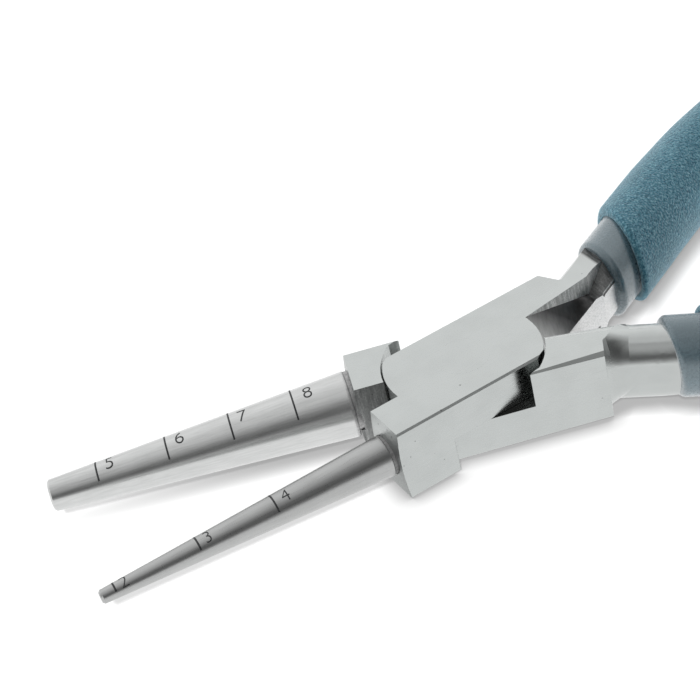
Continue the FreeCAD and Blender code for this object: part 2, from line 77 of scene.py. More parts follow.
# The front of a grip leans against the handle's line, and the slant fades out behind it. Its
# bore is modelled from each end as far in as it can be seen.
GRIP = {
    "wall": 1.2, "start": 13.4, "end_gap": 4.0, "round": 1.0, "play": 0.03, "lip": 0.2,
    "bore": 3.0, "ring_gap": 0.4, "lean": -10.7, "lean_keep": 2.0, "lean_fade": 14.0,
    "hollows": 0.25, "hollows_per_mm": 0.11,
}
GRIP_SIDES = 128
GRIP_RINGS = 150
ROUND_STEPS = 8

# Each mark has its distance from the jaw's root, and how far its digit lies towards the root
JAWS = {
    "small": {
        "base": 2.78, "tip": 0.905, "length": 39.83, "inset": 3.52, "heading": 4.0,
        "half": "upper", "mark_half_angle": 60, "digit_height": 1.75, "digit_angle": 77,
        "shade": 0.88, "roughness": 0.30,
        "marks": {"2": (37.90, 1.3), "3": (26.68, 1.4), "4": (16.15, 1.6)},
    },
    "large": {
        "base": 4.44, "tip": 2.10, "length": 41.07, "inset": 3.45, "heading": 2.3,
        "half": "lower", "mark_half_angle": 52, "digit_height": 2.1, "digit_angle": 88,
        "shade": 1.14, "roughness": 0.21,
        "marks": {"5": (34.44, 1.8), "6": (25.05, 1.9), "7": (16.41, 1.8), "8": (7.89, 2.1)},
    },
}
INLAY = {"proud": 0.012, "depth": 0.03, "mark_width": 0.24, "digit_narrowing": 0.9}
MARK_STEPS = 40
DIGIT_SLICES = 14
STROKE_TRIM = -0.012

# The rim that closes the joint line round the rivet's upper head
RIVET_RIM = {"inner": 3.46, "outer": 3.57, "top": 10.4995, "low": 10.40}
RIM_STEPS = 256


# Frames


def half_matrix(half):
    """From a lever's own frame to the frame of the part, in millimetres."""
    if half == "upper":
        return Matrix.Rotation(math.radians(JOINT["open_angle"]), 4, "Z")
    return Matrix.Translation((0, 0, JOINT["thickness"])) @ Matrix.Rotation(math.pi, 4, "X")


def path_point(half, distance):
    """A point of the handle's centre line and its heading, in the lever's own frame."""
    bow = math.radians(HANDLE["bow"][half])
    along = min(distance, HANDLE["straight"])
    heading = bow - max(distance - HANDLE["straight"], 0) / HANDLE["radius"]
    x = HANDLE["rear_length"] + HANDLE["root_inset"] * math.sin(bow) + along * math.cos(bow)
    y = JOINT["half_width"] - HANDLE["root_inset"] * math.cos(bow) + along * math.sin(bow)
    x += HANDLE["radius"] * (math.sin(bow) - math.sin(heading))
    y += HANDLE["radius"] * (math.cos(heading) - math.cos(bow))
    return Vector((x, y, JOINT["thickness"] / 2)), heading


def path_length():
    """The length of the handle's centre line."""
    return HANDLE["straight"] + HANDLE["radius"] * math.radians(HANDLE["turn"])


def direction(azimuth, elevation):
    """The unit vector towards a place at these angles in radians; azimuth 0 is the near side."""
    return Vector((math.sin(azimuth) * math.cos(elevation),
                   -math.cos(azimuth) * math.cos(elevation), math.sin(elevation)))


# Mesh helpers


def new_object(name, mesh_maker):
    """An object in the scene from a function that fills a bmesh in metres."""
    mesh = bpy.data.meshes.new(name)
    bm = bmesh.new()
    mesh_maker(bm)
    bmesh.ops.recalc_face_normals(bm, faces=bm.faces)
    bm.to_mesh(mesh)
    bm.free()
    obj = bpy.data.objects.new(name, mesh)
    bpy.context.scene.collection.objects.link(obj)
    return obj


def smooth(obj, angle=35):
    """Smooth shading with sharp edges kept."""
    obj.data.polygons.foreach_set("use_smooth", [True] * len(obj.data.polygons))
    bm = bmesh.new()
    bm.from_mesh(obj.data)
    for edge in bm.edges:
        if edge.is_manifold and edge.calc_face_angle(0) > math.radians(angle):
            edge.smooth = False
    bm.to_mesh(obj.data)
    bm.free()


def bridge(bm, rings):
    """Faces between each ring of vertices and the next."""
    for ring, following in zip(rings, rings[1:]):
        for i in range(len(ring)):
            j = (i + 1) % len(ring)
            bm.faces.new((ring[i], ring[j], following[j], following[i]))


# Foam grips


def grip_form(half, stations, seed):
    """A closed form along the handle. A station is a distance and the half sizes there."""
    turn = half_matrix(half)
    slant = math.tan(math.radians(HANDLE["bow"][half] - GRIP["lean"]))
    lean_end = GRIP["start"] + GRIP["lean_keep"]

    def fill(bm):
        rings = []
        for distance, high, wide in stations:
            share = min(max((distance - lean_end) / GRIP["lean_fade"], 0), 1)
            fade = 1 - share * share * (3 - 2 * share)
            ring = []
            for i in range(GRIP_SIDES):
                angle = 2 * math.pi * i / GRIP_SIDES
                sideways = wide * math.sin(angle)
                point, heading = path_point(half, distance + sideways * slant * fade)
                lateral = Vector((-math.sin(heading), math.cos(heading), 0))
                radial = Vector((0, 0, 1)) * high * math.cos(angle) + lateral * sideways
                spot = point + radial
                swell = noise.noise(spot * GRIP["hollows_per_mm"] + Vector((seed, 0, 0)))
                spot += radial.normalized() * GRIP["hollows"] * min(swell, 0)
                ring.append(bm.verts.new((turn @ spot) * MM))
            rings.append(ring)
        bridge(bm, rings)
        bm.faces.new(rings[0])
        bm.faces.new(rings[-1][::-1])

    return fill


def rounding():
    """Steps from the grip's end face to its side: how far in from the end, and how far down
    from the side."""
    angles = [math.radians(180 - 90 * i / ROUND_STEPS) for i in range(ROUND_STEPS + 1)]
    return [(GRIP["round"] * (1 + math.cos(angle)), GRIP["round"] * (1 - math.sin(angle)))
            for angle in angles]


def make_grip(half, seed):
    """The foam grip: a soft sleeve with rounded ends and a slightly uneven surface."""
    sleeve = [HANDLE[side] + SLEEVE_WALL for side in ("half_height", "half_width")]
    inner = [size + GRIP["play"] for size in sleeve]
    outer = [size + GRIP["wall"] for size in sleeve]
    start, end = GRIP["start"], path_length() - GRIP["end_gap"]
    first = start + GRIP["round"] + GRIP["ring_gap"]
    last = end - GRIP["round"] - GRIP["ring_gap"]
    stations = [(start + GRIP["bore"], *inner), (start + GRIP["lip"], *inner)]
    stations += [(start + inwards, outer[0] - down, outer[1] - down)
                 for inwards, down in rounding()]
    stations += [(first + (last - first) * i / GRIP_RINGS, *outer)
                 for i in range(GRIP_RINGS + 1)]
    stations += [(end - inwards, outer[0] - down, outer[1] - down)
                 for inwards, down in rounding()[::-1]]
    stations += [(end - GRIP["lip"], *inner), (end - GRIP["bore"], *inner)]
    piece = new_object(half + "_foam_cover", grip_form(half, stations, seed))
    smooth(piece)
    return piece


# Marks and digits on the jaws, and the rivet's rim


class Cone:
    """A tapered jaw, as a map from (length along it, angle, height) to the part's frame."""

    def __init__(self, jaw):
        self.sizes = JAWS[jaw]
        turn = half_matrix(self.sizes["half"])
        heading = math.radians(self.sizes["heading"])
        start = Vector((-FRONT_LENGTH, -self.sizes["inset"], JOINT["thickness"] / 2))
        along = Vector((-math.cos(heading), math.sin(heading), 0))
        self.start = turn @ start
        self.along = (turn.to_3x3() @ along).normalized()
        self.up = Vector((0, 0, 1))
        self.side = self.up.cross(-self.along)
        if self.side.y > 0:
            self.side = -self.side

    def radius(self, along):
        share = along / self.sizes["length"]
        return self.sizes["base"] + (self.sizes["tip"] - self.sizes["base"]) * share

    def point(self, along, angle, height):
        """Angle 0 faces the near side and 90 degrees faces up; the result is in metres."""
        radial = self.side * math.cos(angle) + self.up * math.sin(angle)
        return (self.start + self.along * along + radial * (self.radius(along) + height)) * MM


def make_mark(jaw, digit):
    """A thin inlaid arc across the top of a jaw."""
    cone = Cone(jaw)
    along = cone.sizes["marks"][digit][0]
    half_angle = math.radians(cone.sizes["mark_half_angle"])
    corners = [(side * INLAY["mark_width"] / 2, height) for side, height in (
        (-1, INLAY["proud"]), (1, INLAY["proud"]), (1, -INLAY["depth"]), (-1, -INLAY["depth"]))]

    def fill(bm):
        angles = [math.pi / 2 + half_angle * (2 * i / MARK_STEPS - 1)
                  for i in range(MARK_STEPS + 1)]
        rings = [[bm.verts.new(cone.point(along + offset, angle, height))
                  for offset, height in corners] for angle in angles]
        bridge(bm, rings)
        bm.faces.new(rings[0][::-1])
        bm.faces.new(rings[-1])

    return new_object("%s_jaw_mark_%s" % (jaw, digit), fill)


def digit_mesh(digit):
    """A digit as flat faces, one unit high and centred."""
    curve = bpy.data.curves.new("digit", "FONT")
    curve.body = digit
    curve.size = 1.0
    curve.offset = STROKE_TRIM
    curve.resolution_u = 6
    holder = bpy.data.objects.new("digit", curve)
    bpy.context.scene.collection.objects.link(holder)
    graph = bpy.context.evaluated_depsgraph_get()
    mesh = bpy.data.meshes.new_from_object(holder.evaluated_get(graph))
    bpy.data.objects.remove(holder)
    bpy.data.curves.remove(curve)
    low = [min(v.co[axis] for v in mesh.vertices) for axis in (0, 1)]
    high = [max(v.co[axis] for v in mesh.vertices) for axis in (0, 1)]
    scale = 1 / (high[1] - low[1])
    for vertex in mesh.vertices:
        vertex.co.x = (vertex.co.x - (low[0] + high[0]) / 2) * scale
        vertex.co.y = (vertex.co.y - (low[1] + high[1]) / 2) * scale
    return mesh


def make_digit(jaw, digit):
    """A plain inlaid digit beside its mark, upright for a reader at the near side."""
    cone = Cone(jaw)
    height = cone.sizes["digit_height"]
    width = height * INLAY["digit_narrowing"]
    mark, offset = cone.sizes["marks"][digit]
    centre = math.radians(cone.sizes["digit_angle"])
    flat = digit_mesh(digit)

    def fill(bm):
        bm.from_mesh(flat)
        for i in range(1, DIGIT_SLICES):
            bmesh.ops.bisect_plane(bm, geom=bm.verts[:] + bm.edges[:] + bm.faces[:],
                                   plane_co=(0, i / DIGIT_SLICES - 0.5, 0), plane_no=(0, 1, 0))
        bmesh.ops.triangulate(bm, faces=bm.faces)
        top = bm.faces[:]
        top_verts = {vertex for face in top for vertex in face.verts}
        rim = [edge for face in top for edge in face.edges if edge.is_boundary]
        copied = bmesh.ops.duplicate(bm, geom=top)
        low_faces = [part for part in copied["geom"] if isinstance(part, bmesh.types.BMFace)]
        below = {a: b for a, b in copied["vert_map"].items() if a in top_verts}
        for edge in rim:
            a, b = edge.verts
            bm.faces.new((a, b, below[b], below[a]))
        bmesh.ops.reverse_faces(bm, faces=low_faces)
        low_verts = set(below.values())
        for vertex in bm.verts:
            along = mark - offset - vertex.co.x * width
            angle = centre + vertex.co.y * height / cone.radius(along)
            level = -INLAY["depth"] if vertex in low_verts else INLAY["proud"]
            vertex.co = cone.point(along, angle, level)

    return new_object("%s_jaw_digit_%s" % (jaw, digit), fill)


def make_rim():
    """The rivet's peened rim: a flush ring that closes the joint line round its upper head."""
    inner, outer, top, low = [RIVET_RIM[key] * MM for key in ("inner", "outer", "top", "low")]

    def fill(bm):
        rings = []
        for i in range(RIM_STEPS):
            turn = 2 * math.pi * i / RIM_STEPS
            rings.append([bm.verts.new((r * math.cos(turn), r * math.sin(turn), z))
                          for r, z in ((inner, top), (outer, top), (outer, low), (inner, low))])
        bridge(bm, rings + rings[:1])

    return new_object("pivot_rivet_rim", fill)


# Materials


class Nodes:
    """Short calls for building the node tree of a material or a world."""

    def __init__(self, owner):
        owner.use_nodes = True
        self.owner = owner
        self.tree = owner.node_tree

    def node(self, kind, **settings):
        node = self.tree.nodes.new(kind)
        for key, value in settings.items():
            setattr(node, key, value)
        return node

    def link(self, source, target):
        self.tree.links.new(source, target)

    def feed(self, value, target):
        if isinstance(value, bpy.types.NodeSocket):
            self.link(value, target)
        else:
            target.default_value = value

    def position(self):
        return self.node("ShaderNodeTexCoord").outputs["Object"]

    def parts(self, vector):
        node = self.node("ShaderNodeSeparateXYZ")
        self.link(vector, node.inputs[0])
        return node.outputs[0], node.outputs[1], node.outputs[2]

    def mapped(self, vector, scale=(1, 1, 1), rotation=(0, 0, 0), location=(0, 0, 0)):
        node = self.node("ShaderNodeMapping")
        self.link(vector, node.inputs["Vector"])
        node.inputs["Scale"].default_value = scale
        node.inputs["Rotation"].default_value = rotation
        node.inputs["Location"].default_value = location
        return node.outputs["Vector"]

    def noise(self, vector, scale, detail=2.0, roughness=0.5):
        node = self.node("ShaderNodeTexNoise")
        self.link(vector, node.inputs["Vector"])
        node.inputs["Scale"].default_value = scale
        node.inputs["Detail"].default_value = detail
        node.inputs["Roughness"].default_value = roughness
        return node.outputs["Fac"]

    def cells(self, vector, scale):
        node = self.node("ShaderNodeTexVoronoi")
        self.link(vector, node.inputs["Vector"])
        node.inputs["Scale"].default_value = scale
        return node.outputs["Distance"], node.outputs["Color"]

    def ramp(self, factor, stops):
        """A colour from a value. A stop's colour may be one number, for a grey."""
        node = self.node("ShaderNodeValToRGB")
        self.link(factor, node.inputs["Fac"])
        ramp = node.color_ramp
        while len(ramp.elements) < len(stops):
            ramp.elements.new(0.5)
        for element, (place, colour) in zip(ramp.elements, stops):
            element.position = place
            if not isinstance(colour, tuple):
                colour = (colour, colour, colour)
            element.color = (*colour, 1)
        return node.outputs["Color"]

    def grey(self, value):
        """A value between 0 and 1 as a colour."""
        return self.ramp(value, [(0.0, 0.0), (1.0, 1.0)])

    def range(self, value, from_low, from_high, low, high):
        node = self.node("ShaderNodeMapRange")
        self.link(value, node.inputs["Value"])
        for key, number in (("From Min", from_low), ("From Max", from_high),
                            ("To Min", low), ("To Max", high)):
            node.inputs[key].default_value = number
        return node.outputs["Result"]

    def fade(self, value, start, end):
        """0 at the start and 1 at the end, and the same beyond them."""
        return self.range(value, start, end, 0.0, 1.0)

    def math(self, operation, first, second=0.0):
        node = self.node("ShaderNodeMath", operation=operation)
        self.feed(first, node.inputs[0])
        self.feed(second, node.inputs[1])
        return node.outputs[0]

    def product(self, first, *others):
        for other in others:
            first = self.math("MULTIPLY", first, other)
        return first

    def inverse(self, value):
        return self.math("SUBTRACT", 1.0, value)

    def above(self, value, limit):
        return self.math("GREATER_THAN", value, limit)

    def below(self, value, limit):
        return self.math("LESS_THAN", value, limit)

    def either(self, first, second):
        return self.math("MAXIMUM", first, second)

    def mix(self, factor, first, second, blend="MIX"):
        node = self.node("ShaderNodeMix", data_type="RGBA", blend_type=blend)
        self.feed(factor, node.inputs[0])
        self.feed(first, node.inputs[6])
        self.feed(second, node.inputs[7])
        return node.outputs[2]

    def times(self, first, second):
        """One colour times another."""
        return self.mix(1.0, first, second, "MULTIPLY")

    def bump(self, height, strength, distance, normal=None):
        """Relief. The distance is in metres."""
        node = self.node("ShaderNodeBump")
        self.link(height, node.inputs["Height"])
        node.inputs["Strength"].default_value = strength
        node.inputs["Distance"].default_value = distance
        if normal is not None:
            self.link(normal, node.inputs["Normal"])
        return node.outputs["Normal"]

    def light_path(self):
        return self.node("ShaderNodeLightPath").outputs

    def finished(self, inputs):
        """The material, with its shader's inputs set by name."""
        shader = self.tree.nodes["Principled BSDF"]
        for key, value in inputs.items():
            self.feed(value, shader.inputs[key])
        return self.owner


def new_material(name):
    return Nodes(bpy.data.materials.new(name))


STEEL = (0.60, 0.625, 0.617, 1)
TURNED_STEEL = (0.612, 0.620, 0.616)
GROUND_ROUGHNESS = 0.24
BRUSH_RELIEF = (0.12, 0.00002)
MILLED_TONES = [(0.30, (0.26, 0.265, 0.265)), (0.50, (0.50, 0.515, 0.51)),
                (0.68, (0.95, 0.96, 0.955))]
BLASTED_TONES = [(0.30, (0.74, 0.75, 0.74)), (0.60, (1.0, 1.0, 1.0))]
END_FACE_TONES = [(0.30, 0.48), (0.65, 0.86)]
# The scoop's slope, from low and in front to high and behind: painted shade that deepens into
# the recess
SLOPE_SHADE_TONES = [(0.0, (0.98, 0.99, 0.98)), (0.40, (0.60, 0.605, 0.60)),
               (0.75, (0.24, 0.24, 0.24)), (1.0, (0.10, 0.10, 0.10))]
SLOPE_REACH = (6.5, 13.0)
CONTACT_SHADE = (0.05, 0.05, 0.05, 1)
LAP_SHADE = (0.14, 0.14, 0.137, 1)
PIT_TONE = (0.12, 0.12, 0.12, 1)
PITS = {"per_mm": 0.9, "size": 0.16, "chosen": (0.86, 0.90)}
# What each kind of surface adds to a lever's roughness
ROUGHER = {"band": 0.36, "contact": 0.30, "beside": 0.36, "end_face": 0.25, "bevel": 0.35,
           "handle": -0.10, "slope": 0.20}
EDGE_RADIUS = 0.05


def own_frame(make, half, source, scale, lift):
    """A scaled texture coordinate, brought back from half_matrix to the lever's own frame."""
    coordinate = make.node("ShaderNodeTexCoord").outputs[source]
    if half == "upper":
        turn = (0, 0, -math.radians(JOINT["open_angle"]))
        return make.mapped(coordinate, scale=(scale, scale, scale), rotation=turn)
    return make.mapped(coordinate, scale=(scale, -scale, -scale), location=(0, 0, lift))


def own_place(make, half):
    """Position in the lever's own frame, in millimetres."""
    return own_frame(make, half, "Object", 1 / MM, JOINT["thickness"])


class LeverSurface:
    """Where a point of a lever lies and how it faces, in its own frame in millimetres. high
    and up are its height and the upward part of its normal in the frame of the part."""

    def __init__(self, make, half):
        self.place = own_place(make, half)
        self.x, self.y, self.z = make.parts(self.place)
        self.nx, self.ny, self.nz = make.parts(own_frame(make, half, "Normal", 1.0, 0))
        if half == "upper":
            self.high, self.up = self.z, self.nz
        else:
            self.high = make.math("SUBTRACT", JOINT["thickness"], self.z)
            self.up = make.math("MULTIPLY", self.nz, -1.0)


def ground_brush(make, place):
    """Fine scratches along the tool."""
    return make.noise(make.mapped(place, scale=(0.5, 9, 9)), 1.0, detail=4.0, roughness=0.7)


def steel_base(make, place, brush, roughness, colour):
    """Shared by all steel: a cloudy colour and a brushed roughness."""
    cloud = make.noise(place, 0.26, detail=3.0)
    tinted = make.times(colour, make.grey(make.range(cloud, 0.3, 0.7, 0.955, 1.02)))
    rough = make.range(brush, 0.3, 0.7, roughness * 0.8, roughness * 1.25)
    return tinted, rough


def pits(make, place):
    """1 in small scattered pits."""
    distance, colour = make.cells(place, PITS["per_mm"])
    chosen = make.node("ShaderNodeSeparateColor")
    make.link(colour, chosen.inputs[0])
    few = make.fade(chosen.outputs[0], *PITS["chosen"])
    reach = make.math("MULTIPLY", chosen.outputs[1], PITS["size"])
    return make.product(few, make.below(distance, reach))


def scoop_masks(make, at):
    """The milled band along the scoop's edge, the dark slope below it, both of these as the
    scoop, and the blasted face beside it."""
    plate, thickness = JOINT["plate_radius"], JOINT["thickness"]
    past_wall = make.fade(at.y, SCOOP["wall"] + 0.005, SCOOP["wall"] + 0.03)
    behind_plate = make.product(make.fade(at.x, plate - 0.1, plate),
                                make.fade(at.x, SCOOP["mouth"] + 0.2, SCOOP["mouth"]))
    inward = make.product(past_wall, make.fade(at.ny, -0.12, -0.3))
    sunk = make.product(past_wall, make.fade(at.z, thickness - 0.35, thickness - 0.5),
                        make.fade(at.nz, 0.8, 0.9))
    below_mouth = make.product(make.above(at.x, SCOOP["end"]),
                               make.below(at.z, SCOOP["mouth_floor"]))
    scoop = make.product(behind_plate, make.either(inward, sunk),
                         make.above(at.z, SCOOP["bottom"]), make.inverse(below_mouth))
    flat_beside = make.product(make.below(at.y, SCOOP["wall"] + 0.02),
                               make.fade(at.ny, -0.8, -0.9))
    beside = make.product(make.either(flat_beside, below_mouth), behind_plate,
                          make.fade(at.ny, -0.5, -0.6))
    band_depth = make.range(at.x, plate, SCOOP["end"], 0.0, SCOOP["end_depth"])
    low = make.below(at.z, make.math("SUBTRACT", thickness + 0.02, band_depth))
    return {"band": make.product(scoop, make.inverse(low)), "slope": make.product(scoop, low),
            "scoop": scoop, "beside": beside}


def lever_masks(make, at):
    """The lever's surfaces that differ from its ground flats, each 1 on its own place."""
    root, middle = HANDLE["rear_length"], JOINT["thickness"] / 2
    masks = scoop_masks(make, at)
    # The face where the jaw blocks meet
    masks["contact"] = make.product(make.fade(at.ny, 0.8, 0.95), make.fade(at.x, -7.0, -7.3),
                                    make.below(at.y, 2.0))
    # The lap faces that rub on each other, where they face up; they take painted shade from the
    # other lever's plate above them
    masks["lap"] = make.product(make.above(at.z, middle - 0.3), make.below(at.z, middle + 0.3),
                                make.fade(at.up, 0.8, 0.9),
                                make.below(at.x, JOINT["plate_radius"] + 0.5))
    # The end face at the jaw's root, more so towards its foot
    masks["end_face"] = make.product(make.fade(at.nx, -0.8, -0.95),
                                     make.below(at.x, 0.3 - FRONT_LENGTH),
                                     make.range(at.high, 8.5, 4.0, 0.25, 1.0))
    # The joint's edges that slope upwards
    masks["bevel"] = make.product(make.fade(at.up, 0.5, 0.6), make.fade(at.up, 0.95, 0.85),
                                  make.below(at.x, root + 1.0))
    masks["handle"] = make.fade(at.x, root + 0.8, root + 2.0)
    masks["pits"] = make.product(pits(make, at.place), make.inverse(masks["scoop"]))
    return masks


def lever_colour(make, at, ground, masks, grain, milled):
    """The ground colour, with each of the lever's other surfaces laid over it."""
    root = HANDLE["rear_length"]
    # Sides are painted a little darker than what faces up, and more so on the handle: painted
    # shade
    side_shade = make.product(make.fade(at.up, 0.45, 0.25),
                          make.range(at.x, root, root + 2.0, 0.04, 0.12))
    colour = make.times(ground, make.grey(make.inverse(side_shade)))
    colour = make.mix(masks["band"], colour, milled)
    # Painted shade on the scoop's slope, darker higher up and further back in the recess, broken
    # by streaks
    streaks = make.noise(make.mapped(at.place, scale=(3.0, 3.0, 0.3)), 1.0, detail=3.0)
    depth = make.math("ADD", at.z, make.math("SUBTRACT", at.x, JOINT["plate_radius"]))
    dark = make.times(make.ramp(make.fade(depth, *SLOPE_REACH), SLOPE_SHADE_TONES),
                      make.ramp(streaks, [(0.25, 0.7), (0.75, 1.0)]))
    colour = make.mix(masks["slope"], colour, dark)
    colour = make.mix(masks["beside"], colour, make.ramp(grain, BLASTED_TONES))
    colour = make.mix(masks["contact"], colour, milled)
    # Painted shade on the face between the jaw blocks
    colour = make.mix(make.math("MULTIPLY", masks["contact"], 0.35), colour, CONTACT_SHADE)
    # Painted shade on the lap faces under the other lever's plate
    colour = make.mix(masks["lap"], colour, LAP_SHADE)
    # The end face is darker and grainier towards its foot
    worn = make.times(colour, make.ramp(grain, END_FACE_TONES))
    colour = make.mix(masks["end_face"], colour, worn)
    return make.mix(make.math("MULTIPLY", masks["pits"], 0.55), colour, PIT_TONE)


def lever_finish(half):
    """A lever: ground flats, a scoop with a coarse milled band, a polished handle root."""
    make = new_material(half + "_lever_steel")
    at = LeverSurface(make, half)
    brush = ground_brush(make, at.place)
    ground, rough = steel_base(make, at.place, brush, GROUND_ROUGHNESS, STEEL)
    masks = lever_masks(make, at)

    stripes = make.noise(make.mapped(at.place, scale=(3.2, 0.6, 0.35)), 1.0, detail=3.0,
                         roughness=0.65)
    grain = make.noise(at.place, 6.0, detail=3.0, roughness=0.7)
    coarse = make.mix(0.45, stripes, grain)
    # Milled surfaces are painted darker as they turn towards the lever's outer face, darkest on
    # the scoop's sunk floor: painted shade
    milled = make.times(make.ramp(coarse, MILLED_TONES),
                        make.grey(make.range(at.nz, 0.0, 0.8, 1.0, 0.32)))
    colour = lever_colour(make, at, ground, masks, grain, milled)
    for place, amount in ROUGHER.items():
        rough = make.math("ADD", rough, make.math("MULTIPLY", masks[place], amount))
    # The rounded edge between the top and the scoop's side is less metallic
    away = make.product(make.below(at.z, 1.3), make.fade(at.ny, -0.06, -0.12),
                        make.range(at.up, 0.74, 0.80, 0.0, 0.75),
                        make.above(at.x, JOINT["plate_radius"]))

    edge = make.node("ShaderNodeBevel", samples=6)
    edge.inputs["Radius"].default_value = EDGE_RADIUS * MM
    relief = make.bump(brush, *BRUSH_RELIEF, edge.outputs["Normal"])
    relief = make.bump(make.product(coarse, masks["band"]), 0.8, 0.00012, relief)
    relief = make.bump(make.inverse(masks["pits"]), 0.4, 0.00003, relief)
    return make.finished({"Base Color": colour, "Roughness": rough,
                          "Metallic": make.inverse(away), "Normal": relief})


def jaw_finish(jaw):
    """A turned jaw: polished along its length, with faint streaks and turning marks."""
    sizes = JAWS[jaw]
    make = new_material(jaw + "_jaw_steel")
    place = own_place(make, sizes["half"])
    along = make.mapped(place, rotation=(0, 0, math.radians(sizes["heading"])))
    streaks = make.noise(make.mapped(along, scale=(0.22, 4.0, 4.0)), 1.0, detail=3.0,
                         roughness=0.6)
    turning = make.noise(make.mapped(along, scale=(9.0, 0.9, 0.9)), 1.0, detail=4.0,
                         roughness=0.7)
    brush = make.mix(0.5, streaks, turning)
    # Each jaw's shade scales its turned steel: painted shade on the small jaw and painted light
    # on the large one
    base = tuple(sizes["shade"] * part for part in TURNED_STEEL)
    colour, rough = steel_base(make, place, brush, sizes["roughness"], (*base, 1))
    colour = make.times(colour, make.grey(make.range(streaks, 0.35, 0.65, 0.92, 1.03)))
    # The step at the jaw's root is left coarse
    root = make.fade(make.parts(place)[0], -FRONT_LENGTH - 1.0, -FRONT_LENGTH - 0.7)
    coarse = make.ramp(make.noise(place, 2.2, detail=3.0), [(0.35, 0.44), (0.65, 0.62)])
    return make.finished({
        "Base Color": make.mix(root, colour, coarse), "Metallic": 1.0,
        "Roughness": make.math("ADD", rough, make.math("MULTIPLY", root, 0.35)),
        "Normal": make.bump(brush, *BRUSH_RELIEF)})


def rivet_finish():
    """The rivet's flush heads, ground together with the upper plate."""
    make = new_material("rivet_steel")
    place = own_place(make, "upper")
    brush = ground_brush(make, place)
    colour, rough = steel_base(make, place, brush, GROUND_ROUGHNESS, STEEL)
    return make.finished({"Base Color": colour, "Roughness": rough, "Metallic": 1.0,
                          "Normal": make.bump(brush, *BRUSH_RELIEF)})


def vinyl():
    """Dipped vinyl: semi-gloss grey blue with a faintly uneven skin."""
    make = new_material("dipped_vinyl")
    place = make.position()
    cloud = make.noise(place, 180.0, detail=2.0)
    fine = make.noise(place, 2600.0, detail=3.0)
    colour = make.ramp(cloud, [(0.35, (0.064, 0.106, 0.128)), (0.65, (0.076, 0.122, 0.146))])
    relief = make.bump(fine, 0.02, 0.00001, make.bump(cloud, 0.25, 0.0003))
    return make.finished({
        "Base Color": colour, "Roughness": make.range(fine, 0.3, 0.7, 0.25, 0.31), "IOR": 2.15,
        "Specular Tint": (0.86, 0.96, 1.0, 1), "Sheen Weight": 1.0, "Sheen Roughness": 0.35,
        "Coat Weight": 0.3, "Coat Roughness": 0.12, "Normal": relief})


def foam():
    """Fine closed-cell foam: a granular, speckled teal surface."""
    make = new_material("foam_rubber")
    place = make.position()
    grain = make.noise(place, 3400.0, detail=3.0, roughness=0.75)
    distance, _colour = make.cells(place, 3000.0)
    colour = make.ramp(grain, [(0.34, (0.010, 0.075, 0.120)), (0.46, (0.040, 0.160, 0.225)),
                               (0.56, (0.100, 0.280, 0.365)), (0.68, (0.29, 0.53, 0.63))])
    cloud = make.noise(place, 90.0, detail=2.0)
    shade = make.grey(make.range(cloud, 0.3, 0.7, 0.9, 1.08))
    relief = make.bump(grain, 0.7, 0.0002, make.bump(distance, 0.5, 0.0002))
    return make.finished({
        "Base Color": make.times(colour, shade), "Roughness": 0.85, "Sheen Weight": 1.0,
        "Sheen Roughness": 0.35, "Sheen Tint": (0.75, 0.93, 1.0, 1), "Normal": relief})


def inlay():
    """Dark etched lines: matt grey black with a worn, uneven tone."""
    make = new_material("etched_dark")
    wear = make.noise(make.position(), 5000.0, detail=2.0)
    colour = make.ramp(wear, [(0.35, (0.030, 0.032, 0.034)), (0.70, (0.075, 0.078, 0.080))])
    return make.finished({
        "Base Color": colour, "Roughness": make.range(wear, 0.3, 0.7, 0.45, 0.65),
        "Metallic": 0.3, "Normal": make.bump(wear, 0.2, 0.00001)})


def dress(obj, material):
    """Give an object one material in place of all it had."""
    for slot in obj.material_slots:
        slot.link = "OBJECT"
        slot.material = material
    if not obj.material_slots:
        obj.data.materials.append(material)


# Build

for half in BODIES:
    dress(nodes[half + "_lever"], lever_finish(half))
for jaw in JAWS:
    dress(nodes[jaw + "_round_jaw"], jaw_finish(jaw))
rivet_skin = rivet_finish()
dress(nodes["pivot_rivet"], rivet_skin)
rim = make_rim()
dress(rim, rivet_skin)
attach(rim, BODIES["upper"])

vinyl_skin = vinyl()
foam_skin = foam()
for seed, half in enumerate(BODIES, start=3):
    dress(nodes[half + "_handle_sleeve"], vinyl_skin)
    grip = make_grip(half, seed)
    dress(grip, foam_skin)
    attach(grip, BODIES[half])
    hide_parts(half + "_foam_grip")

dark = inlay()
for jaw, sizes in JAWS.items():
    for digit in sizes["marks"]:
        for piece in (make_mark(jaw, digit), make_digit(jaw, digit)):
            dress(piece, dark)
            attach(piece, BODIES[sizes["half"]])


# Studio: floor, world, lamp, camera

CAMERA = {
    "focal_px": 1875.5, "frame_px": 700, "azimuth": -1.67, "elevation": 36.68,
    "roll": -14.63, "target": (-12.962, 21.760, 0.0), "distance": 261.281,
}
# In metres: the floor's half size, how far it stays below the tool, and where a grip rests on
# it behind the grip's front. The shade reaches shade_mm from what stands on the floor.
FLOOR = {
    "half_size": 3.0, "gap": 0.0001, "grip_rest": 0.04, "grey": 0.58, "shade_mm": 2.6,
    "tones": [(0.40, 0.05), (1.0, 0.18)], "glow": (0.45, 1.0, 0.36, 0.60),
}
FLOOR_LAMP = {"azimuth": -9.0, "elevation": 47.0, "softness": 6.0, "strength": 8.8}
